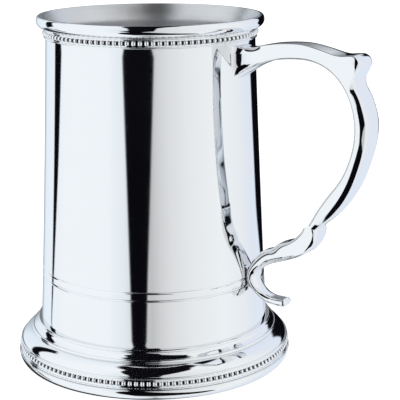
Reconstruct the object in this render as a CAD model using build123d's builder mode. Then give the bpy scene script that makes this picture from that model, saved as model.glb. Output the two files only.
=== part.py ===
from build123d import *
from math import pi, sqrt
import os

# One-pint pewter tankard without a lid, in millimetres.
# +Z is up, the origin is on the axis of the drum at the table, and the handle points along +X.

# ---- driving dimensions -------------------------------------------------------------------------

height = 128.0                 # table to rim
wall = 1.2                     # spun sheet of the drum

seat_radius = 42.2             # outside of the drum where the foot grips it
waist_radius = 39.95           # outside of the drum half-way up
neck_radius = 37.6             # outside of the drum under the lip
drum_bottom = 5.8
drum_foot_line = 16.5          # where the drum comes out of the foot
waist_height = 62.0
beading_bottom = 119.8
lip_bottom = 123.8
lip_radius = 2.5               # quarter round of the lip
lip_overhang = 0.7             # flat underside of the lip
mouth_radius = 39.2            # inner edge of the rim
rim_flat = 0.7                 # level top of the rim
throat_drop = 6.5              # how far the flared mouth reaches down inside

incised_heights = (33.55, 36.3)
incised_radius = 0.45          # round-nosed tool, sunk about half its radius
incised_centre_radius = 41.45

floor_thickness = 1.5
floor_solder_leg = 1.6

foot_beading_radius = 49.5
foot_beading_bottom = 4.4
foot_beading_top = 8.8
foot_grip_bottom = 11.6        # lowest contact between foot and drum
foot_solder_bottom = 9.4

rim_beading_gap = 0.35         # bare drum between its straight top and the rim beading
beading_backing = 0.35         # flat strip behind the beads
beading_line_radius = 0.32     # plain round line above and below the beads
bead_radius = 0.9
bead_sink = 0.1                # bead centres lie this far behind the face of the strip
bead_pitch = 2.16

handle_neck_half_width = 3.0   # at the drum
handle_grip_half_width = 6.6   # at the back of the grip
handle_root = 34.6             # inside the drum
handle_start = 33.0            # the outline begins here, further in than the root
handle_start_low = 104.0
handle_tip = 87.9              # just clear of the back of the grip
handle_slab = 16.0             # thickness the sides are cut from
grip_back_radius = 2.0         # rounding of the side edges along the back of arm, knob and grip
grip_front_radius = 1.2        # rounding of the side edges towards the drum
scroll_edge_radius = 1.35

neck_solder_bottom = 105.4
neck_solder_top = 120.6
neck_solder_half_width = 5.3   # where it thins out on the drum
neck_solder_reach = 40.2       # where it thins out on the neck
neck_solder_flush = 3.35       # half width there, just inside the sides of the neck
tail_solder_width = 7.8

os.makedirs("parts", exist_ok=True)


def save(part, name):
    """Label one finished piece and write it under its own name."""
    part.label = name
    export_step(part, f"parts/{name}.step")


# ---- drum ---------------------------------------------------------------------------------------

def drum_outside():
    """Draw the outer line of the drum from its bottom edge up to the underside of the lip."""
    Line((seat_radius, drum_bottom), (seat_radius, drum_foot_line))
    ThreePointArc(
        (seat_radius, drum_foot_line), (waist_radius, waist_height), (neck_radius, beading_bottom)
    )
    Line((neck_radius, beading_bottom), (neck_radius, lip_bottom))


lip_centre = (neck_radius + lip_overhang, lip_bottom + lip_radius)
lip_top = (mouth_radius + rim_flat, height)
throat = (neck_radius - wall, height - throat_drop)

with BuildPart() as drum:
    with BuildSketch(Plane.XZ):
        with BuildLine():
            drum_outside()
            Line((neck_radius, lip_bottom), (lip_centre[0], lip_bottom))
            lip_round = CenterArc(lip_centre, lip_radius, 270, 90)
            Spline(lip_round @ 1, lip_top, tangents=((0, 1), (-1, 0)))
            Line(lip_top, (mouth_radius, height))
            Spline((mouth_radius, height), throat, tangents=((-0.35, -1), (0, -1)))
            Line(throat, (neck_radius - wall, beading_bottom))
            ThreePointArc(
                (neck_radius - wall, beading_bottom),
                (waist_radius - wall, waist_height),
                (seat_radius - wall, drum_foot_line),
            )
            Line((seat_radius - wall, drum_foot_line), (seat_radius - wall, drum_bottom))
            Line((seat_radius - wall, drum_bottom), (seat_radius, drum_bottom))
        make_face()
    revolve(axis=Axis.Z)
    # Two fine lines are turned into the drum above the foot.
    with BuildSketch(Plane.XZ):
        with Locations(*((incised_centre_radius, z) for z in incised_heights)):
            Circle(incised_radius)
    revolve(axis=Axis.Z, mode=Mode.SUBTRACT)

save(drum.part, "drum")

# The plain body of the drum, filled in: other pieces are cut to lie against it.
with BuildPart() as drum_blank:
    with BuildSketch(Plane.XZ):
        with BuildLine():
            drum_outside()
            Polyline(
                (neck_radius, lip_bottom), (0, lip_bottom), (0, drum_bottom), (seat_radius, drum_bottom)
            )
        make_face()
    revolve(axis=Axis.Z)

# ---- floor and its solder -----------------------------------------------------------------------

floor_radius = seat_radius - wall
floor_top = drum_bottom + floor_thickness

with BuildPart() as base_disc:
    with BuildSketch(Plane.XY.offset(drum_bottom)):
        Circle(floor_radius)
    extrude(amount=floor_thickness)

save(base_disc.part, "base_disc")

with BuildPart() as base_solder:
    with BuildSketch(Plane.XZ):
        with BuildLine():
            Line((floor_radius - floor_solder_leg, floor_top), (floor_radius, floor_top))
            Line((floor_radius, floor_top), (floor_radius, floor_top + floor_solder_leg))
            RadiusArc(
                (floor_radius, floor_top + floor_solder_leg),
                (floor_radius - floor_solder_leg, floor_top),
                floor_solder_leg,
            )
        make_face()
    revolve(axis=Axis.Z)

save(base_solder.part, "base_solder")

# ---- foot ---------------------------------------------------------------------------------------

ring_bottom = (45.3, 12.5)
ring_top = (45.1, 13.6)
collar_bottom = (43.65, 15.5)
collar_top = (42.9, drum_foot_line)
shoulder = (foot_beading_radius, foot_beading_top)
grip_outer = (44.3, 11.2)
rest_outer = (46.9, 0)
rest_inner = (45.6, 0)
roll_top = (50.85, foot_beading_bottom)

with BuildPart() as foot:
    with BuildSketch(Plane.XZ):
        with BuildLine():
            Line(rest_inner, rest_outer)
            ThreePointArc(rest_outer, (49.9, 1.4), roll_top)
            Line(roll_top, (foot_beading_radius, foot_beading_bottom))
            Line((foot_beading_radius, foot_beading_bottom), shoulder)
            Spline(shoulder, (48.35, 10.3), (46.55, 11.75), ring_bottom, tangents=((0, 1), (-1, 0.35)))
            ThreePointArc(ring_bottom, (45.85, 13.1), ring_top)
            ThreePointArc(ring_top, (44.1, 14.35), collar_bottom)
            ThreePointArc(collar_bottom, (43.45, 16.2), collar_top)
            Line(collar_top, (seat_radius, drum_foot_line))
            Line((seat_radius, drum_foot_line), (seat_radius, foot_grip_bottom))
            Polyline((seat_radius, foot_grip_bottom), grip_outer, (47.9, 8.2), (47.9, 3.4), rest_inner)
        make_face()
    revolve(axis=Axis.Z)

save(foot.part, "foot")

with BuildPart() as foot_solder:
    with BuildSketch(Plane.XZ):
        with BuildLine():
            Polyline(
                (seat_radius, foot_grip_bottom),
                grip_outer,
                (seat_radius, foot_solder_bottom),
                close=True,
            )
        make_face()
    revolve(axis=Axis.Z)

save(foot_solder.part, "foot_solder")

# ---- beading ------------------------------------------------------------------------------------

def beaded_wire(name, radius, bottom, top):
    """Make a beaded wire: a flat strip, a plain line at each edge, and a row of half-sunk beads."""
    backing_radius = radius + beading_backing
    count = round(2 * pi * radius / bead_pitch)
    line_heights = (bottom + beading_line_radius, top - beading_line_radius)
    with BuildPart() as wire:
        with BuildSketch(Plane.XZ):
            with Locations((radius, (bottom + top) / 2)):
                Rectangle(beading_backing, top - bottom, align=(Align.MIN, Align.CENTER))
            with Locations(*((backing_radius, z) for z in line_heights)):
                Circle(beading_line_radius)
            with Locations((radius, (bottom + top) / 2)):
                Rectangle(beading_backing, top - bottom, align=(Align.MAX, Align.CENTER), mode=Mode.SUBTRACT)
        revolve(axis=Axis.Z)
        with Locations(Plane.XY.offset((bottom + top) / 2)):
            with PolarLocations(backing_radius - bead_sink, count):
                Sphere(bead_radius)
        with BuildSketch(Plane.XZ):
            with Locations((radius, (bottom + top) / 2)):
                Rectangle(2 * bead_radius, top - bottom, align=(Align.MAX, Align.CENTER))
        revolve(axis=Axis.Z, mode=Mode.SUBTRACT)
    save(wire.part, name)


beaded_wire("rim_beading", neck_radius, beading_bottom + rim_beading_gap, lip_bottom)
beaded_wire("foot_beading", foot_beading_radius, foot_beading_bottom, foot_beading_top)

# ---- handle -------------------------------------------------------------------------------------

def two_arcs(start, start_heading, end, end_heading):
    """Join two points by two arcs that meet smoothly and keep the heading given at each point."""
    first = Vector(1, 0).rotate(Axis.Z, start_heading)
    last = Vector(1, 0).rotate(Axis.Z, end_heading)
    reach = Vector(*end) - Vector(*start)
    along = reach.dot(first + last)
    spread = 2 * (1 - first.dot(last))
    if spread > 0.001:
        step = (-along + sqrt(along**2 + spread * reach.dot(reach))) / spread
    else:
        step = reach.dot(reach) / (2 * along)
    middle = (Vector(*start) + Vector(*end) + (first - last) * step) / 2
    TangentArc(Vector(*start), middle, tangent=first)
    TangentArc(Vector(*end), middle, tangent=last * -1)


def smooth_outline(stations):
    """Draw a smooth line of arcs through stations, each a point and a heading in degrees."""
    for (start, start_heading), (end, end_heading) in zip(stations, stations[1:]):
        two_arcs(start, start_heading, end, end_heading)


# Radius from the drum's axis and height, with the heading of the outline at that point.
grip_back = (
    ((handle_start, 120.3), -15),   # inside the drum
    ((41.2, 118.8), 3),        # dip behind the lip
    ((48.0, 120.1), 12),
    ((60.0, 121.3), 0),        # crest of the arm
    ((70.0, 119.8), -14),
    ((75.5, 118.5), -9),
    ((80.6, 118.7), 4),        # top of the thumb knob
    ((83.9, 115.7), -90),      # back of the knob
    ((82.8, 113.0), -118),
    ((81.9, 110.4), -90),      # waist under the knob
    ((84.9, 103.2), -68),
    ((87.0, 94.5), -90),       # back of the grip
    ((83.1, 77.0), -111),
    ((76.0, 64.9), -130),
    ((66.6, 56.2), -137),      # inside the scroll
)
grip_front = (
    ((64.9, 58.1), 56),        # inside the scroll
    ((70.6, 67.3), 55),
    ((79.2, 79.9), 66),
    ((82.4, 93.5), 90),        # furthest from the drum
    ((76.8, 109.4), 130),
    ((62.0, 116.0), 180),      # underside of the arm
    ((47.0, 113.5), 203),
    ((38.0, 107.6), 216),      # at the drum
)
scroll_outline = (
    ((63.8, 58.0), 55),        # inside the grip
    ((66.4, 59.9), 0),
    ((68.9, 56.4), -90),       # shoulder of the lobe
    ((66.6, 50.8), -128),
    ((61.0, 46.8), -154),
    ((54.0, 43.9), -160),
    ((48.2, 41.5), -148),
    ((44.4, 36.8), -90),       # hollow of the tail
    ((47.0, 32.1), -38),
    ((51.6, 30.4), -4),
    ((55.0, 30.2), 0),
    ((56.4, 28.8), -90),       # tip of the tail
    ((55.0, 27.4), 180),
    ((50.4, 27.6), 172),
    ((44.6, 30.6), 136),
    ((40.7, 36.4), 90),        # where the tail rests against the drum
    ((43.0, 43.0), 54),
    ((47.4, 47.2), 28),
    ((51.0, 48.7), 35),        # small step in the top of the lobe
    ((54.2, 50.9), 22),
    ((58.6, 52.6), 32),
    ((62.6, 56.2), 52),
    ((63.8, 58.0), 55),
)

# Seen from above the handle is a narrow wedge: its flat sides spread from the drum to the grip.
with BuildSketch(Plane.XY) as handle_plan:
    with BuildLine():
        Polyline(
            (handle_root, handle_neck_half_width),
            (handle_tip, handle_grip_half_width),
            (handle_tip, -handle_grip_half_width),
            (handle_root, -handle_neck_half_width),
            close=True,
        )
    make_face()

def is_side_edge(edge):
    """Whether an edge runs along one flat side of the handle, outside the drum."""
    return (edge @ 0).Y * (edge @ 1).Y > 0 and (edge @ 0.5).X > handle_root + 0.3


def meets(edge, station):
    """Whether an edge, seen from the side, ends at a station of an outline."""
    (x, z), heading = station
    return any(abs(end.X - x) < 0.01 and abs(end.Z - z) < 0.01 for end in (edge @ 0, edge @ 1))


# The upper part: arm, thumb knob and grip.
with BuildPart() as grip:
    with BuildSketch(Plane.XZ.offset(-handle_slab / 2)):
        with BuildLine():
            smooth_outline(grip_back)
            Line(grip_back[-1][0], grip_front[0][0])
            smooth_outline(grip_front)
            Polyline(grip_front[-1][0], (handle_start, handle_start_low), grip_back[0][0])
        make_face()
    extrude(amount=handle_slab)
    extrude(handle_plan.sketch, amount=height, mode=Mode.INTERSECT)
    # Each outline is one smooth chain, so rounding the edges at one station rounds all of it.
    back_edges = grip.edges().filter_by(is_side_edge).filter_by(lambda e: meets(e, grip_back[11]))
    fillet(back_edges, grip_back_radius)
    front_edges = grip.edges().filter_by(is_side_edge).filter_by(lambda e: meets(e, grip_front[3]))
    fillet(front_edges, grip_front_radius)

# The lower part: the lobe under the grip and the curled tail that rests against the drum.
with BuildPart() as scroll:
    with BuildSketch(Plane.XZ.offset(-handle_slab / 2)):
        with BuildLine():
            smooth_outline(scroll_outline)
        make_face()
    extrude(amount=handle_slab)
    extrude(handle_plan.sketch, amount=height, mode=Mode.INTERSECT)
    fillet(scroll.edges().filter_by(is_side_edge), scroll_edge_radius)

with BuildPart() as handle_blank:
    add(grip.part)
    add(scroll.part)

with BuildPart() as handle:
    add(handle_blank.part)
    add(drum_blank.part, mode=Mode.SUBTRACT)

save(handle.part, "handle")

# ---- solder at the two ends of the handle -------------------------------------------------------

# The neck is run round with a hollow fillet of solder, which stops under the beading.
with BuildPart() as upper_solder:
    with BuildSketch(Plane.XY.offset(neck_solder_bottom)):
        with BuildLine():
            near_cove = ThreePointArc(
                (37.0, -neck_solder_half_width), (38.1, -4.0), (neck_solder_reach, -neck_solder_flush)
            )
            far_cove = ThreePointArc(
                (neck_solder_reach, neck_solder_flush), (38.1, 4.0), (37.0, neck_solder_half_width)
            )
            Line(near_cove @ 1, far_cove @ 0)
            Polyline(
                far_cove @ 1,
                (handle_root, neck_solder_half_width),
                (handle_root, -neck_solder_half_width),
                near_cove @ 0,
            )
        make_face()
    extrude(amount=beading_bottom - neck_solder_bottom)
    with BuildSketch(Plane.XZ.offset(-handle_slab / 2)):
        with BuildLine():
            under_cove = ThreePointArc(
                (37.2, neck_solder_bottom), (38.5, 107.3), (neck_solder_reach, 109.1)
            )
            over_cove = ThreePointArc(
                (neck_solder_reach, 118.8), (38.6, 119.3), (37.0, neck_solder_top)
            )
            Line(under_cove @ 1, over_cove @ 0)
            Polyline(
                over_cove @ 1,
                (handle_root, neck_solder_top),
                (handle_root, neck_solder_bottom),
                under_cove @ 0,
            )
        make_face()
    extrude(amount=handle_slab, mode=Mode.INTERSECT)
    add(drum_blank.part, mode=Mode.SUBTRACT)
    add(handle_blank.part, mode=Mode.SUBTRACT)

save(upper_solder.part, "upper_solder")

# The back of the tail is bedded in a small flat pad of solder.
with BuildPart() as lower_solder:
    with BuildSketch(Plane.XZ.offset(-tail_solder_width / 2)):
        with BuildLine():
            Spline(
                (39.0, 32.0), (41.8, 32.2), (42.4, 36.2), (41.6, 40.4), (39.0, 40.8), periodic=True
            )
        make_face()
    extrude(amount=tail_solder_width)
    add(drum_blank.part, mode=Mode.SUBTRACT)
    add(handle_blank.part, mode=Mode.SUBTRACT)

save(lower_solder.part, "lower_solder")
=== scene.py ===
from bisect import bisect
from math import atan2, cos, exp, hypot, radians, sin, sqrt, tau

import bmesh
import bpy
from mathutils import Matrix, Vector


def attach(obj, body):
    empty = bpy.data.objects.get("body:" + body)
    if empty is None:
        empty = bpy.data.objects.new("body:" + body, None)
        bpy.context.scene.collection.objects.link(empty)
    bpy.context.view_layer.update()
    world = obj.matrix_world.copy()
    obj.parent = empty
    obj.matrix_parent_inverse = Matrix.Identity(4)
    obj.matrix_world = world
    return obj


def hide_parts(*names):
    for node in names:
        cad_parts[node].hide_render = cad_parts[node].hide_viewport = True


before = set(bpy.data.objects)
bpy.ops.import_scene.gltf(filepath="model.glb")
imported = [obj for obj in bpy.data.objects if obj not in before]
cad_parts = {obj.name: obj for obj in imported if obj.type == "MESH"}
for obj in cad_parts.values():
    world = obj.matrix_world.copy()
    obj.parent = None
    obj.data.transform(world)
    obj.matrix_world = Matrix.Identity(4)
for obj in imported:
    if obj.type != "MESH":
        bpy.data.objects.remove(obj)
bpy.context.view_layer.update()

# ---- camera ---------------------------------------------------------------------------------------

HANDLE_TURN = 30.5          # degrees the handle is turned from square-on towards the camera
CAMERA_ASIDE = 0.01745      # distance to the right of the drum's axis
CAMERA_AWAY = 0.4634
CAMERA_HEIGHT = 0.1751
CAMERA_DOWN = 14.035        # degrees below the horizon
CAMERA_ROLL = -0.262
LENS_MM = 116.0

camera_data = bpy.data.cameras.new("camera")
camera_data.lens = LENS_MM
camera_data.sensor_width = 36
camera_data.clip_start = 0.01
camera = bpy.data.objects.new("camera", camera_data)
bpy.context.scene.collection.objects.link(camera)
camera.matrix_world = (
    Matrix.Rotation(radians(HANDLE_TURN), 4, "Z")
    @ Matrix.Translation((CAMERA_ASIDE, -CAMERA_AWAY, CAMERA_HEIGHT))
    @ Matrix.Rotation(radians(90 - CAMERA_DOWN), 4, "X")
    @ Matrix.Rotation(radians(CAMERA_ROLL), 4, "Z")
)
bpy.context.scene.camera = camera
bpy.context.scene.view_settings.view_transform = "Standard"


# ---- small helpers for node trees -----------------------------------------------------------------

class Nodes:
    """Writes shader maths as short calls. Every value is a socket or a number."""

    def __init__(self, tree):
        self.tree = tree

    def add(self, kind, **settings):
        node = self.tree.nodes.new(kind)
        for key, value in settings.items():
            setattr(node, key, value)
        return node

    def plug(self, value, socket):
        if isinstance(value, bpy.types.NodeSocket):
            self.tree.links.new(value, socket)
        else:
            socket.default_value = value

    def math(self, operation, *values):
        node = self.add("ShaderNodeMath", operation=operation)
        for value, socket in zip(values, node.inputs):
            self.plug(value, socket)
        return node.outputs[0]

    def curve(self, value, low, high, points):
        """Straight lines through (value, height) points, heights from 0 to 1."""
        node = self.add("ShaderNodeFloatCurve")
        curve = node.mapping.curves[0]
        for _ in points[2:]:
            curve.points.new(0.5, 0.5)
        ordered = [((at - low) / (high - low), height) for at, height in points]
        for point, place in zip(curve.points, ordered):
            point.location = place
            point.handle_type = "VECTOR"
        node.mapping.update()
        self.plug(self.remap(value, low, high, 0, 1), node.inputs["Value"])
        return node.outputs[0]

    def remap(self, value, low, high, new_low, new_high, smooth=False):
        node = self.add("ShaderNodeMapRange")
        node.interpolation_type = "SMOOTHSTEP" if smooth else "LINEAR"
        for number, socket in zip((value, low, high, new_low, new_high), node.inputs):
            self.plug(number, socket)
        return node.outputs[0]

    def between(self, value, low, high, soft):
        """1 between low and high, 0 outside, with soft edges."""
        above = self.math("SUBTRACT", value, low)
        below = self.math("SUBTRACT", high, value)
        nearest = self.math("MINIMUM", above, below)
        return self.remap(nearest, -soft, soft, 0, 1, smooth=True)

    def mix(self, share, first, second):
        node = self.add("ShaderNodeMix", data_type="RGBA")
        self.plug(share, node.inputs["Factor"])
        self.plug(first, node.inputs["A"])
        self.plug(second, node.inputs["B"])
        return node.outputs["Result"]


# ---- studio ---------------------------------------------------------------------------------------

# The tankard stands in a white tent. The gap for the camera, a gap to the left, a gap to the right and
# behind, the hole overhead and a low gap behind are dark. They show only as reflections in the metal.
# Azimuth is 0 towards the camera and grows to the right; elevation is above the horizon.
GAP_COLOUR = (0.003, 0.003, 0.005, 1)
EVEN_LIGHT = (1.04, 1.04, 1.04, 1)
world = bpy.data.worlds.new("studio")
bpy.context.scene.world = world
world.use_nodes = True
tent = Nodes(world.node_tree)
background = world.node_tree.nodes["Background"]

direction = tent.add("ShaderNodeTexCoord").outputs["Generated"]
turned = tent.add("ShaderNodeVectorRotate", rotation_type="Z_AXIS")
tent.plug(direction, turned.inputs["Vector"])
turned.inputs["Angle"].default_value = radians(-HANDLE_TURN)
split = tent.add("ShaderNodeSeparateXYZ")
tent.plug(turned.outputs[0], split.inputs[0])
towards_camera = tent.math("MULTIPLY", split.outputs[1], -1)
azimuth = tent.math("DEGREES", tent.math("ARCTAN2", split.outputs[0], towards_camera))
elevation = tent.math("DEGREES", tent.math("ARCSINE", split.outputs[2]))


def edge(points):
    """An azimuth that changes with elevation."""
    heights = [(at, (value + 180) / 360) for at, value in points]
    return tent.math("MULTIPLY_ADD", tent.curve(elevation, -90, 90, heights), 360, -180)


def gap(left, right, lowest, highest, soft):
    across = tent.between(azimuth, edge(left), edge(right), soft)
    return tent.math("MULTIPLY", across, tent.between(elevation, lowest, highest, 1.5))


# The sides of each gap are lists of (elevation, azimuth).
camera_gap = gap(
    left=[
        (-90, -16), (-60, -26), (-45, -34), (-36, -34), (-22, -27), (-17, -19), (-12, -22),
        (-3, -29), (6, -19), (35, -23), (54, -35), (71, -55), (90, -110),
    ],
    right=[
        (-90, -14), (-68, 60), (-58, 80), (-51, 62), (-44, 38), (-36, 22), (-22, 3), (-16, -7),
        (-12, -4), (-3, 6), (6, 6), (35, 9), (50, 20), (60, 35), (72, 75), (90, 120),
    ],
    lowest=-64, highest=91, soft=1.2,
)
left_gap = gap(
    left=[
        (-90, -118), (-25, -119), (-17, -127), (-10, -125), (-4, -124), (10, -126), (35, -138),
        (90, -150),
    ],
    right=[
        (-90, -117), (-25, -112), (-17, -125.5), (-10, -115), (-4, -108.5), (10, -113), (35, -127),
        (90, -140),
    ],
    lowest=-40, highest=42, soft=1.2,
)
right_gap = gap(
    left=[
        (-90, 165), (-16, 153), (-13, 141), (-10, 139.5), (-6, 137), (5, 141), (22, 146), (90, 150),
    ],
    right=[(-90, 166), (-16, 168), (-10, 178), (-6, 190), (5, 178), (22, 160), (90, 160)],
    lowest=-17, highest=24, soft=2.0,
)
# The hole overhead reaches further down at the back.
OVERHEAD_EDGE = [
    (-180, 56), (-165, 58), (-155, 73), (-60, 74), (60, 73), (106, 72), (130, 63), (144, 58),
    (180, 56),
]
hole_heights = [(at, up / 90) for at, up in OVERHEAD_EDGE]
rim_of_hole = tent.math("MULTIPLY", tent.curve(azimuth, -180, 180, hole_heights), 90)
overhead = tent.remap(tent.math("SUBTRACT", elevation, rim_of_hole), -1.5, 1.5, 0, 1, smooth=True)
# Low behind the tankard, on the left, the tent stops short of the floor.
behind = tent.remap(azimuth, -132, -126, 0.95, 0, smooth=True)
low_gap = tent.math("MULTIPLY", behind, tent.between(elevation, -64, -20, 2))
dark = low_gap
for share in (camera_gap, left_gap, right_gap, overhead):
    dark = tent.math("MAXIMUM", dark, share)

walls = tent.add("ShaderNodeValToRGB")
tent.plug(tent.remap(azimuth, -180, 180, 0, 1), walls.inputs[0])
# The tent's cloth by azimuth: darkest straight behind the tankard, and bluish away from the camera.
WALL_COLOURS = [
    (-180, 0.20, 0.21, 0.23), (-170, 0.22, 0.24, 0.27), (-160, 0.52, 0.57, 0.62),
    (-150, 0.86, 0.95, 1.05), (-132, 0.94, 1.01, 1.07), (-100, 1.02, 1.06, 1.09),
    (-45, 1.01, 1.06, 1.09), (-28, 0.91, 0.97, 1.01), (0, 0.60, 0.61, 0.61), (8, 0.73, 0.73, 0.74),
    (20, 0.84, 0.85, 0.86), (40, 0.93, 0.95, 0.96), (75, 1.00, 1.03, 1.05), (105, 0.95, 0.98, 1.01),
    (125, 0.87, 0.92, 1.01), (140, 0.84, 0.91, 1.03), (165, 0.80, 0.85, 0.93),
    (172, 0.30, 0.32, 0.34), (180, 0.20, 0.21, 0.23),
]
ramp = walls.color_ramp
for _ in WALL_COLOURS[2:]:
    ramp.elements.new(0.5)
for stop, (at, *colour) in zip(ramp.elements, WALL_COLOURS):
    stop.position = (at + 180) / 360
for stop, (at, *colour) in zip(ramp.elements, WALL_COLOURS):
    stop.color = (*colour, 1)
seen = tent.mix(dark, walls.outputs["Color"], GAP_COLOUR)
# The floor and the camera see plain even light instead.
mirrored = tent.add("ShaderNodeLightPath").outputs["Is Glossy Ray"]
tent.plug(tent.mix(mirrored, EVEN_LIGHT, seen), background.inputs["Color"])
background.inputs["Strength"].default_value = 1.0

FLOOR_SIZE = 8
bpy.ops.mesh.primitive_plane_add(size=FLOOR_SIZE, location=(0, 0, 0))
floor = bpy.context.object
floor.name = "floor"
floor_material = bpy.data.materials.new("floor")
floor_material.use_nodes = True
floor_bsdf = floor_material.node_tree.nodes["Principled BSDF"]
floor_bsdf.inputs["Base Color"].default_value = (0.35, 0.35, 0.35, 1)
floor_bsdf.inputs["Emission Color"].default_value = (1, 1, 1, 1)
floor_bsdf.inputs["Emission Strength"].default_value = 0.85
floor_bsdf.inputs["Roughness"].default_value = 0.9
floor.data.materials.append(floor_material)
floor.visible_glossy = False

# ---- finely turned drum and foot ------------------------------------------------------------------

# A mirror finish shows every facet, so the drum and the foot are turned again with many more steps.
# The drum keeps its CAD outline, and is about 0.1 mm off it at most, at the lip. The foot's shoulder
# and the cove above it are drawn as single smooth bends, at most 0.35 mm off. Units are millimetres.
MM = 0.001
TURNS = 512


def arc_through(start, middle, end, steps):
    """Points on the arc through three points, without the first."""
    (ax, ay), (bx, by), (cx, cy) = start, middle, end
    double = 2 * (ax * (by - cy) + bx * (cy - ay) + cx * (ay - by))
    a2, b2, c2 = ax * ax + ay * ay, bx * bx + by * by, cx * cx + cy * cy
    x = (a2 * (by - cy) + b2 * (cy - ay) + c2 * (ay - by)) / double
    y = (a2 * (cx - bx) + b2 * (ax - cx) + c2 * (bx - ax)) / double
    radius = hypot(ax - x, ay - y)
    first, half, last = (atan2(py - y, px - x) for px, py in (start, middle, end))
    sweep = (last - first) % tau
    if (half - first) % tau > sweep:
        sweep -= tau
    angles = (first + sweep * step / steps for step in range(1, steps + 1))
    return [(x + radius * cos(angle), y + radius * sin(angle)) for angle in angles]


def bend(start, leaving, end, arriving, pull, steps):
    """Points on one smooth bend between two points with given headings, without the first."""
    span = pull * hypot(end[0] - start[0], end[1] - start[1])
    headings = [(x / hypot(x, y), y / hypot(x, y)) for x, y in (leaving, arriving)]
    found = []
    for step in range(1, steps + 1):
        t = step / steps
        shares = (2 * t**3 - 3 * t**2 + 1, 3 * t**2 - 2 * t**3)
        pulls = ((t**3 - 2 * t**2 + t) * span, (t**3 - t**2) * span)
        found.append(
            tuple(
                shares[0] * start[k] + shares[1] * end[k]
                + pulls[0] * headings[0][k] + pulls[1] * headings[1][k]
                for k in (0, 1)
            )
        )
    return found


def new_piece(name, mesh, slot, *replaced):
    """Put a mesh in the scene in place of CAD nodes."""
    mesh.shade_smooth()
    mesh.set_sharp_from_angle(angle=radians(32))
    piece = bpy.data.objects.new(name, mesh)
    bpy.context.scene.collection.objects.link(piece)
    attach(piece, "root")
    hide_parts(*replaced)
    return piece


def lathe(name, outline):
    """Turn a closed outline of (radius, height) about the drum's axis."""
    count = len(outline)
    vertices = []
    for turn in range(TURNS):
        angle = tau * turn / TURNS
        vertices += [(r * MM * cos(angle), r * MM * sin(angle), z * MM) for r, z in outline]
    faces = []
    for turn in range(TURNS):
        here, there = turn * count, (turn + 1) % TURNS * count
        for index in range(count):
            after = (index + 1) % count
            faces.append((here + index, there + index, there + after, here + after))
    mesh = bpy.data.meshes.new(name)
    mesh.from_pydata(vertices, [], faces)
    return mesh


# Drum: up the outside from the bottom edge, round the lip, and down the inside.
WALL = 1.2
DRUM_BOTTOM = 5.8
DRUM_FOOT, DRUM_WAIST, DRUM_NECK = (42.2, 16.5), (39.95, 62.0), (37.6, 119.8)
LIP_UNDERSIDE = 123.8
OUTSIDE_STEPS, KEPT_STEP, GROOVE_MARGIN = 1400, 35, 0.6
GROOVES = (33.55, 36.3)
GROOVE_CENTRE, GROOVE_RADIUS = 41.45, 0.45
LIP_CENTRE, LIP_RADIUS = (38.3, 126.3), 2.5
THROAT = (36.4, 121.5)
MOUTH = (39.2, 128.0)


def grooved(point):
    """A point of the drum's outside, sunk where the two fine lines are turned in."""
    r, z = point
    for groove in GROOVES:
        reach = GROOVE_RADIUS**2 - (z - groove) ** 2
        if reach > 0:
            r = min(r, GROOVE_CENTRE - sqrt(reach))
    return (r, z)


# Every step is kept near the grooves, and one in KEPT_STEP elsewhere.
outside = [
    point
    for index, point in enumerate(arc_through(DRUM_FOOT, DRUM_WAIST, DRUM_NECK, OUTSIDE_STEPS), 1)
    if index % KEPT_STEP == 0
    or min(abs(point[1] - groove) for groove in GROOVES) < GROOVE_MARGIN
]
lip_side = (LIP_CENTRE[0] + LIP_RADIUS, LIP_CENTRE[1])
lip_diagonal = tuple(c + side * LIP_RADIUS * sqrt(0.5) for c, side in zip(LIP_CENTRE, (1, -1)))
drum_outline = [(41.0, DRUM_BOTTOM), (42.2, DRUM_BOTTOM), DRUM_FOOT, *map(grooved, outside)]
drum_outline += [(DRUM_NECK[0], LIP_UNDERSIDE), (LIP_CENTRE[0], LIP_UNDERSIDE)]
drum_outline += arc_through(drum_outline[-1], lip_diagonal, lip_side, 16)
drum_outline += bend(lip_side, (0, 1), (39.9, 128.0), (-1, 0), 1.0, 10)
rim_count = len(drum_outline)
drum_outline += [MOUTH, *bend(MOUTH, (-0.35, -1), THROAT, (0, -1), 1.0, 20)]
drum_outline.append((THROAT[0], DRUM_NECK[1]))
drum_outline += arc_through(*((r - WALL, z) for r, z in (DRUM_NECK, DRUM_WAIST, DRUM_FOOT)), 40)
drum = new_piece("turned_drum", lathe("turned_drum", drum_outline), "pewter", "drum")

# Foot: from the resting ring up the outside to the collar, and back down the hidden side.
RING_INNER, RING_OUTER = (45.6, 0.0), (46.9, 0.0)
ROLL_TOP, BEAD_SEAT, SHOULDER_START = (50.85, 4.4), (49.5, 4.4), (49.5, 8.8)
SHOULDER_END, COVE_START, COVE_END = (45.3, 12.5), (45.1, 13.6), (43.5, 15.6)
COLLAR_TOP = (43.1, 16.5)
FOOT_INSIDE = [(42.2, 11.6), (44.3, 11.2), (47.9, 8.2), (47.9, 3.4)]
foot_outline = [RING_INNER, RING_OUTER]
foot_outline += arc_through(RING_OUTER, (49.9, 1.4), ROLL_TOP, 20)
foot_outline += [BEAD_SEAT, SHOULDER_START]
foot_outline += bend(SHOULDER_START, (0, 1), SHOULDER_END, (-1, 0.35), 0.8, 30)
foot_outline += arc_through(SHOULDER_END, (45.85, 13.1), COVE_START, 12)
foot_outline += bend(COVE_START, (-1, 0.8), COVE_END, (0, 1), 1.1, 16)
foot_outline += arc_through(COVE_END, (43.62, 16.15), COLLAR_TOP, 10)
foot_outline += [DRUM_FOOT, *FOOT_INSIDE]
foot = new_piece("turned_foot", lathe("turned_foot", foot_outline), "pewter", "foot")

# ---- cast handle ----------------------------------------------------------------------------------

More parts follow.
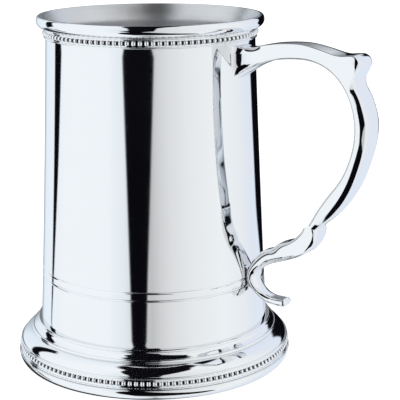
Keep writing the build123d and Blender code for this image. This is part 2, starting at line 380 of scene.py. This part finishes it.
# The casting is swept between two outlines seen from the side, with worn and bevelled corners that
# a plain rounded slab doesn't have. Each station is a point (radius, height) and a heading.
NECK_WALL = 37.25           # the casting starts here, inside the drum's wall
GRIP_BACK = (
    ((NECK_WALL, 119.5), -10), ((41.2, 118.8), 3), ((48.0, 120.1), 12), ((60.0, 121.3), 0),
    ((70.0, 119.8), -14), ((75.5, 118.5), -9), ((80.6, 118.7), 4), ((83.9, 115.7), -90),
    ((82.8, 113.0), -118), ((81.9, 110.4), -90), ((84.9, 103.2), -68), ((87.0, 94.5), -90),
    ((83.1, 77.0), -111), ((76.0, 64.9), -130), ((66.6, 56.2), -137),
)
GRIP_FRONT = (
    ((NECK_WALL, 107.5), 36), ((41.6, 110.4), 34), ((47.0, 113.5), 23), ((62.0, 116.0), 0),
    ((76.8, 109.4), -50), ((82.4, 93.5), -90), ((79.2, 79.9), -114), ((70.6, 67.3), -125),
    ((64.9, 58.1), -124),
)
# Pairs of (place on the back, place on the front) that face each other, as points nearest to these.
GRIP_RUNGS = (
    ((NECK_WALL, 119.5), (NECK_WALL, 107.5)), ((43.0, 119.0), (41.6, 110.4)),
    ((48.6, 120.3), (48.6, 114.2)), ((61.5, 121.3), (61.5, 116.0)),
    ((72.0, 119.4), (71.0, 113.9)), ((79.0, 118.5), (75.3, 111.0)),
    ((83.9, 115.7), (77.6, 108.4)), ((81.9, 110.4), (79.2, 105.9)), ((85.0, 103.0), (81.0, 102.2)),
    ((87.0, 94.5), (82.4, 93.5)), ((83.1, 77.0), (79.2, 79.9)), ((76.0, 64.9), (71.6, 68.6)),
    ((66.6, 56.2), (64.9, 58.1)),
)
SCROLL_OUTER = (
    ((66.4, 59.9), 0), ((68.9, 56.4), -90), ((66.6, 50.8), -128), ((61.0, 46.8), -154),
    ((54.0, 43.9), -160), ((48.2, 41.5), -148), ((44.4, 36.8), -90), ((47.0, 32.1), -38),
    ((51.6, 30.4), -4), ((55.0, 30.2), 0), ((56.4, 28.8), -90),
)
SCROLL_INNER = (
    ((63.8, 58.0), -125), ((62.6, 56.2), -128), ((58.6, 52.6), -148), ((54.2, 50.9), -158),
    ((51.0, 48.7), -145), ((47.4, 47.2), -152), ((43.0, 43.0), -126), ((40.7, 36.4), -90),
    ((44.6, 30.6), -44), ((50.4, 27.6), -8), ((55.0, 27.4), 0), ((56.4, 28.8), 90),
)
SCROLL_RUNGS = (
    ((66.4, 59.9), (63.8, 58.0)), ((68.9, 56.4), (62.6, 56.2)), ((66.6, 50.8), (59.4, 53.2)),
    ((61.0, 46.8), (54.6, 51.1)), ((54.0, 43.9), (49.6, 48.1)), ((48.2, 41.5), (43.6, 43.8)),
    ((44.4, 36.8), (40.7, 36.4)), ((47.0, 32.1), (44.6, 30.6)), ((51.6, 30.4), (50.4, 27.6)),
    ((56.4, 28.8), (56.4, 28.8)),
)
NECK_HALF_WIDTH, GRIP_HALF_WIDTH = 3.0, 6.6     # of the wedge, at these radii
WEDGE_START, WEDGE_END = 34.6, 87.9
# The neck flares into the drum: extra half width at the drum, and how soon it fades away from it.
NECK_FLARES = ((3.2, 6.0), (1.2, 1.2), (0.6, 0.4))
NECK_COVE = 5.2                                 # the flare bends round the drum this far out
NECK_ROUNDED, NECK_FADE = 48.0, 7.0             # its front corners are rounder below this radius
TAIL_OVAL, TAIL_FADE = 58.0, 8.0                # and the tail grows oval below this one
TAIL_NARROWING, NARROWS_FROM = 0.35, 0.4        # of the tail's width, lost from here to its tip
# From TAIL_TIP on it rounds off to TIP_WIDTH of its width, and it is cut flat at TIP_END.
TAIL_TIP, TIP_WIDTH, TIP_END = 0.955, 0.35, 0.9985
# Radius of the grip's front corner, and what the neck adds to it.
FRONT_CORNER, NECK_CORNER = 1.2, 2.6
# The bevel along the back has its full size where the grip is this wide (to one side) and deep.
BEVEL_HALF, BEVEL_DEPTH = 6.4, 4.6
# At full size it starts this far short of the back. Its outer edge lies this far back from there and
# this far in from the side, and the crown begins at the brow, measured from the back and the side.
BEVEL_START, BEVEL_BACK, BEVEL_IN = 2.35, 1.85, 0.9
BROW_BACK, BROW_IN = 0.12, 2.4
# Corners of the scroll: in millimetres in the lobe, as shares of its depth and half width in the tail.
LOBE_CORNER_DEPTH, LOBE_CORNER_WIDTH = 1.6, 1.7
TAIL_CORNER_DEPTH, TAIL_CORNER_WIDTH = 0.49, 0.82
ARC_STEPS = 14
SWEEP_STEPS = 260
SMOOTHING_PASSES = 30


def unit(degrees):
    return Vector((cos(radians(degrees)), sin(radians(degrees))))


def tangent_arc(start, along, end):
    """Points on the arc that leaves start in one direction and reaches end, without the first."""
    chord = end - start
    across = Vector((-along.y, along.x))
    lean = atan2(chord.dot(across), chord.dot(along))
    if abs(lean) < 1e-5:
        return [start + chord * step / ARC_STEPS for step in range(1, ARC_STEPS + 1)]
    radius = chord.length / (2 * sin(lean))
    turns = (2 * lean * step / ARC_STEPS for step in range(1, ARC_STEPS + 1))
    return [start + radius * (sin(turn) * along + (1 - cos(turn)) * across) for turn in turns]


def outline_points(stations):
    """Points on a smooth chain of arcs, two between each pair of stations."""
    found = [Vector(stations[0][0])]
    for (start, first), (end, last) in zip(stations, stations[1:]):
        start, end, first, last = Vector(start), Vector(end), unit(first), unit(last)
        reach = end - start
        along, spread = reach.dot(first + last), 2 * (1 - first.dot(last))
        if spread > 0.001:
            step = (-along + sqrt(along**2 + spread * reach.dot(reach))) / spread
        else:
            step = reach.dot(reach) / (2 * along)
        middle = (start + end + (first - last) * step) / 2
        found += tangent_arc(start, first, middle)
        found += [*reversed(tangent_arc(end, -last, middle)[:-1]), end]
    return found


class Track:
    """A line of points that can be read at any share of its length."""

    def __init__(self, points):
        self.points = points
        self.places = [0.0]
        for a, b in zip(points, points[1:]):
            self.places.append(self.places[-1] + (b - a).length)
        self.places = [place / self.places[-1] for place in self.places]

    def at(self, share):
        index = min(max(bisect(self.places, share), 1), len(self.places) - 1)
        low, high = self.places[index - 1], self.places[index]
        return self.points[index - 1].lerp(self.points[index], (share - low) / (high - low))

    def share_of(self, point):
        near = min(range(len(self.points)), key=lambda i: (self.points[i] - Vector(point)).length)
        return self.places[near]


def bezier(a, b, c, d, steps):
    """Points on a Bezier curve, without the first."""
    shares = (step / steps for step in range(1, steps + 1))
    return [
        tuple(
            (1 - t)**3 * a[k] + 3 * (1 - t)**2 * t * b[k] + 3 * (1 - t) * t**2 * c[k] + t**3 * d[k]
            for k in (0, 1)
        )
        for t in shares
    ]


def grip_section(depth, half, radius):
    """Half of the grip's section, from the middle of the front to the middle of the back.

    The front corner is rounded. The back corner is a worn bevel that runs into a low crown.
    """
    neck = min(max((NECK_ROUNDED - radius) / NECK_FADE, 0), 1)
    corner = min(FRONT_CORNER + NECK_CORNER * neck, depth * 0.45, half * 0.75)
    size = min(half / BEVEL_HALF, depth / BEVEL_DEPTH, 1.0)
    flank = depth - BEVEL_START * size
    points = [(0.0, 0.0), (0.0, half * 0.4), (0.0, half - corner)]
    points += bezier(
        points[-1], (0.0, half - corner * 0.45), (corner * 0.45, half), (corner, half), 8
    )
    points += [(corner + (flank - corner) * share, half) for share in (0.33, 0.67, 0.97, 1.0)]
    bevel = (flank + BEVEL_BACK * size, half - BEVEL_IN * size)
    points += bezier(
        points[-1],
        (flank + 0.62 * size, half - 0.2 * size),
        (bevel[0] - 0.62 * size, bevel[1] + 0.4 * size),
        bevel,
        14,
    )
    brow = (depth - BROW_BACK * size, half - BROW_IN * size)
    points += bezier(
        bevel,
        (bevel[0] + 0.24 * size, bevel[1] - 0.16 * size),
        (brow[0] - 0.08 * size, brow[1] + 0.8 * size),
        brow,
        12,
    )
    crown = ((depth - 0.05 * size, brow[1] * 0.8), (depth, brow[1] * 0.4), (depth, 0.0))
    points += bezier(brow, *crown, 5)
    return points


def scroll_section(depth, half, radius):
    """Half of the scroll's section: a slab with worn corners in the lobe, nearly oval in the tail."""
    tail = min(max((TAIL_OVAL - radius) / TAIL_FADE, 0), 1)
    deep = min(LOBE_CORNER_DEPTH, depth * 0.4) * (1 - tail) + depth * TAIL_CORNER_DEPTH * tail
    wide = LOBE_CORNER_WIDTH * (1 - tail) + half * TAIL_CORNER_WIDTH * tail
    points = [(0.0, 0.0), (0.0, (half - wide) * 0.5), (0.0, half - wide)]
    points += bezier(points[-1], (0.0, half - wide * 0.45), (deep * 0.45, half), (deep, half), 12)
    points += [(deep + (depth - 2 * deep) * share, half) for share in (0.33, 0.67, 1.0)]
    far_corner = ((depth - deep * 0.45, half), (depth, half - wide * 0.45), (depth, half - wide))
    points += bezier(points[-1], *far_corner, 12)
    points += [(depth, (half - wide) * 0.5), (depth, 0.0)]
    return points


def half_width(radius):
    """Half width of the handle at a distance from the drum's axis, flared where it meets the drum."""
    share = (radius - WEDGE_START) / (WEDGE_END - WEDGE_START)
    wedge = NECK_HALF_WIDTH + share * (GRIP_HALF_WIDTH - NECK_HALF_WIDTH)
    away = max(radius - NECK_WALL, 0)
    return wedge + sum(spread * exp(-away / fade) for spread, fade in NECK_FLARES)


def root_bend(width):
    """How far the drum falls away at this distance to one side, in metres."""
    return (NECK_WALL - sqrt(NECK_WALL**2 - (width / MM) ** 2)) * MM


def sweep(mesh, back_stations, front_stations, rungs, section, tip):
    """Add a closed shell between two outlines, with a section across at every step.

    It narrows to a rounded end from the share tip on, or keeps its full width when tip is 0.
    """
    back, front = Track(outline_points(back_stations)), Track(outline_points(front_stations))
    pairs = [(back.share_of(b), front.share_of(f)) for b, f in rungs]
    steps = [index / SWEEP_STEPS for index in range(SWEEP_STEPS + 1)]
    facing = []
    for share in steps:
        for (a, fa), (b, fb) in zip(pairs, pairs[1:]):
            if share <= b:
                break
        facing.append(fa + (fb - fa) * (share - a) / (b - a))
    for _ in range(SMOOTHING_PASSES):
        facing[1:-1] = [(a + 2 * b + c) / 4 for a, b, c in zip(facing, facing[1:], facing[2:])]
    rings = []
    for share, other in zip(steps, facing):
        if tip and share > TIP_END:
            break
        back_point, front_point = back.at(share), front.at(other)
        across = back_point - front_point
        depth = across.length
        across /= depth
        narrow = 1.0
        if tip:
            gone = min(max((share - NARROWS_FROM) / (1 - NARROWS_FROM), 0), 1)
            narrow -= TAIL_NARROWING * gone
        if tip and share > tip:
            narrow *= TIP_WIDTH + (1 - TIP_WIDTH) * sqrt(1 - ((share - tip) / (1 - tip)) ** 2)
        middle = half_width((back_point.x + front_point.x) / 2)
        near_side = []
        for a, y in section(depth, middle, front_point.x):
            place = front_point + across * a
            width = y * half_width(place.x) / middle * narrow
            # The foot of the neck bends round the drum.
            bent = NECK_WALL - sqrt(NECK_WALL**2 - width**2)
            inward = min(max(1 - (place.x - NECK_WALL) / NECK_COVE, 0), 1)
            near_side.append(((place.x - bent * inward) * MM, -width * MM, place.y * MM))
        far_side = [(x, -y, z) for x, y, z in reversed(near_side[1:-1])]
        rings.append([mesh.verts.new(corner) for corner in (*near_side, *far_side)])
    for low, high in zip(rings, rings[1:]):
        for index, vertex in enumerate(low):
            after = (index + 1) % len(low)
            mesh.faces.new((vertex, low[after], high[after], high[index]))
    # Each end is closed by a strip of faces on both sides of a line down its middle.
    for ring in (rings[0], rings[-1]):
        top = (len(ring) + 2) // 2 - 1
        spine = [ring[0]]
        for index in range(1, top):
            place = ring[index].co
            spine.append(mesh.verts.new((place.x + root_bend(place.y), 0, place.z)))
        spine.append(ring[top])
        for index in range(top):
            near = (ring[index], ring[index + 1])
            far = (ring[-index] if index else ring[0], ring[-index - 1])
            centre = (spine[index], spine[index + 1])
            for side in (near, far):
                corners = dict.fromkeys((*side, centre[1], centre[0]))
                mesh.faces.new(list(corners))


def swept_object(name, *sweeping):
    shell = bmesh.new()
    sweep(shell, *sweeping)
    bmesh.ops.recalc_face_normals(shell, faces=shell.faces)
    mesh = bpy.data.meshes.new(name)
    shell.to_mesh(mesh)
    shell.free()
    made = bpy.data.objects.new(name, mesh)
    bpy.context.scene.collection.objects.link(made)
    return made


grip = swept_object("grip", GRIP_BACK, GRIP_FRONT, GRIP_RUNGS, grip_section, 0)
scroll = swept_object(
    "scroll", SCROLL_OUTER, SCROLL_INNER, SCROLL_RUNGS, scroll_section, TAIL_TIP
)
union = grip.modifiers.new("join", "BOOLEAN")
union.operation = "UNION"
union.solver = "EXACT"
union.object = scroll
joined = bpy.data.meshes.new_from_object(grip.evaluated_get(bpy.context.evaluated_depsgraph_get()))
joined.name = "cast_handle"
for made in (grip, scroll):
    bpy.data.objects.remove(made)
handle = new_piece("cast_handle", joined, "pewter", "handle", "upper_solder")

# ---- metal ----------------------------------------------------------------------------------------

# Radius and height of each row of beads, and how many there are.
BEAD_ROWS = ((37.6, 121.975, 109), (49.5, 6.6, 144))
BEAD_REACH = 0.95           # painted shade and grime between the beads reach this far out from the wall
BEAD_GAP = 0.17             # half of the gap, as a share of the distance from bead to bead
BEAD_GAP_HEIGHT = 0.75      # half of its height
GAP_SOFTNESS = 0.06
# Colour of the painted shade and grime in the gaps between the beads.
GRIME_AND_SHADE_COLOUR = (0.02, 0.02, 0.024, 1)
HAZE_SCALE = 45
MARKS_PER_MM = 9            # steps of noise across the turning marks
MARKS_PER_RADIAN = 0.6      # and along them
ROUGHNESS_CHANGE = 0.4      # how strongly haze and marks change the roughness
HAZE_SHADE = 0.8            # of the metal's colour, mixed in by up to 3% with the haze
MARK_DEPTH = 0.00002        # metres


def pewter(name, colour, roughness, brushing, satin=0.0):
    """Polished or satin pewter with turning marks round the drum's axis and soft haze."""
    material = bpy.data.materials.new(name)
    material.use_nodes = True
    tree = Nodes(material.node_tree)
    bsdf = material.node_tree.nodes["Principled BSDF"]
    bsdf.inputs["Metallic"].default_value = 1
    place = tree.add("ShaderNodeTexCoord").outputs["Object"]
    parts = tree.add("ShaderNodeSeparateXYZ")
    tree.plug(place, parts.inputs[0])
    x, y, z = (tree.math("MULTIPLY", output, 1 / MM) for output in parts.outputs)
    squares = tree.math("ADD", tree.math("MULTIPLY", x, x), tree.math("MULTIPLY", y, y))
    radius = tree.math("SQRT", squares)

    # Soft clouds of handling haze, and fine marks that run round the drum.
    cloud = tree.add("ShaderNodeTexNoise")
    tree.plug(place, cloud.inputs["Vector"])
    cloud.inputs["Scale"].default_value = HAZE_SCALE
    cloud.inputs["Detail"].default_value = 4
    rings = tree.add("ShaderNodeCombineXYZ")
    tree.plug(tree.math("MULTIPLY", radius, MARKS_PER_MM), rings.inputs[0])
    tree.plug(tree.math("MULTIPLY", z, MARKS_PER_MM), rings.inputs[1])
    along_mark = tree.math("MULTIPLY", tree.math("ARCTAN2", y, x), MARKS_PER_RADIAN)
    tree.plug(along_mark, rings.inputs[2])
    marks = tree.add("ShaderNodeTexNoise")
    tree.plug(rings.outputs[0], marks.inputs["Vector"])
    marks.inputs["Scale"].default_value = 1
    marks.inputs["Detail"].default_value = 3
    haze = tree.remap(cloud.outputs["Fac"], 0.35, 0.7, -0.3, 0.5, smooth=True)
    streak = tree.remap(marks.outputs["Fac"], 0.3, 0.7, -0.5, 0.5)
    change = tree.math("ADD", haze, streak)
    rough = tree.math("MULTIPLY_ADD", change, roughness * ROUGHNESS_CHANGE, roughness)
    tree.plug(rough, bsdf.inputs["Roughness"])

    # Painted shade darkens the corners between the beads, where some grime also sits.
    turn = tree.math("DIVIDE", tree.math("ARCTAN2", y, x), tau)
    grime_and_shade = 0.0
    for row_radius, row_height, beads in BEAD_ROWS:
        from_bead = tree.math("PINGPONG", tree.math("MULTIPLY", turn, beads), 0.5)
        gap_start = 0.5 - BEAD_GAP
        gap_mask = tree.remap(
            from_bead, gap_start - GAP_SOFTNESS, gap_start + GAP_SOFTNESS, 0, 1, smooth=True
        )
        band = tree.between(z, row_height - BEAD_GAP_HEIGHT, row_height + BEAD_GAP_HEIGHT, 0.15)
        collar = tree.between(radius, row_radius, row_radius + BEAD_REACH, 0.05)
        in_row = tree.math("MULTIPLY", tree.math("MULTIPLY", gap_mask, band), collar)
        grime_and_shade = tree.math("MAXIMUM", grime_and_shade, in_row)
    shade = tree.remap(cloud.outputs["Fac"], 0.3, 0.7, 0.97, 1.0)
    tint = tree.mix(shade, tuple(c * HAZE_SHADE for c in colour) + (1,), (*colour, 1))
    tree.plug(tree.mix(grime_and_shade, tint, GRIME_AND_SHADE_COLOUR), bsdf.inputs["Base Color"])

    bump = tree.add("ShaderNodeBump")
    bump.inputs["Strength"].default_value = brushing
    bump.inputs["Distance"].default_value = MARK_DEPTH
    tree.plug(marks.outputs["Fac"], bump.inputs["Height"])
    tree.plug(bump.outputs[0], bsdf.inputs["Normal"])
    if satin:
        bsdf.inputs["Anisotropic"].default_value = satin
        bsdf.inputs["Anisotropic Rotation"].default_value = 0.25
        tangent = tree.add("ShaderNodeTangent", direction_type="RADIAL", axis="Z")
        tree.plug(tangent.outputs[0], bsdf.inputs["Tangent"])
    return material


polished = pewter("polished_pewter", (0.84, 0.85, 0.86), 0.05, 0.05)
satin = pewter("satin_pewter", (0.66, 0.66, 0.67), 0.40, 0.6, satin=0.5)
solder = pewter("solder", (0.74, 0.75, 0.77), 0.14, 0.1)

drum.data.materials.append(polished)
drum.data.materials.append(satin)
# Satin on the inside, from the rim down.
count = len(drum_outline)
for index, face in enumerate(drum.data.polygons):
    face.material_index = 1 if rim_count <= index % count < count - 1 else 0
foot.data.materials.append(polished)
handle.data.materials.append(polished)
finishes = {"base_disc": satin, "base_solder": satin, "lower_solder": solder, "foot_solder": solder}
for name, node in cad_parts.items():
    node.data.materials.clear()
    node.data.materials.append(finishes.get(name, polished))
